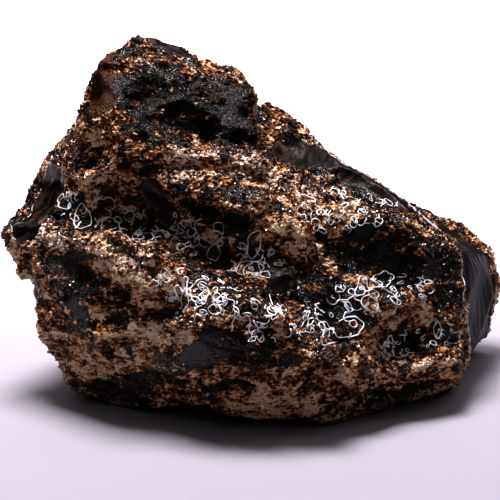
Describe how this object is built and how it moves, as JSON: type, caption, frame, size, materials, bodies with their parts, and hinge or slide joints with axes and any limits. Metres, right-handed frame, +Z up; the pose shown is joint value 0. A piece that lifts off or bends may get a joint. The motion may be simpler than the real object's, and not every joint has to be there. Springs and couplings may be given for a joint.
{
  "type": "raw amber lump",
  "caption": "Rough natural lump of dark raw amber with a crusted skin, a hollow under its peak, a long valley across its front and glossy broken faces.",
  "frame": {"origin": "a point on the flat break that the lump rests on, below about the middle of its length", "axes": "+X along the lump's length, away from the high peak; -Y out of the broken crusted front; +Z up out of the flat base"},
  "size_m": [0.1236, 0.0846, 0.0844],
  "materials": {
    "amber": "near-black fossil resin, glossy where broken, with a rough orange-brown granular crust"
  },
  "bodies": {
    "root": {"amber_piece": "amber"}
  },
  "joints": []
}
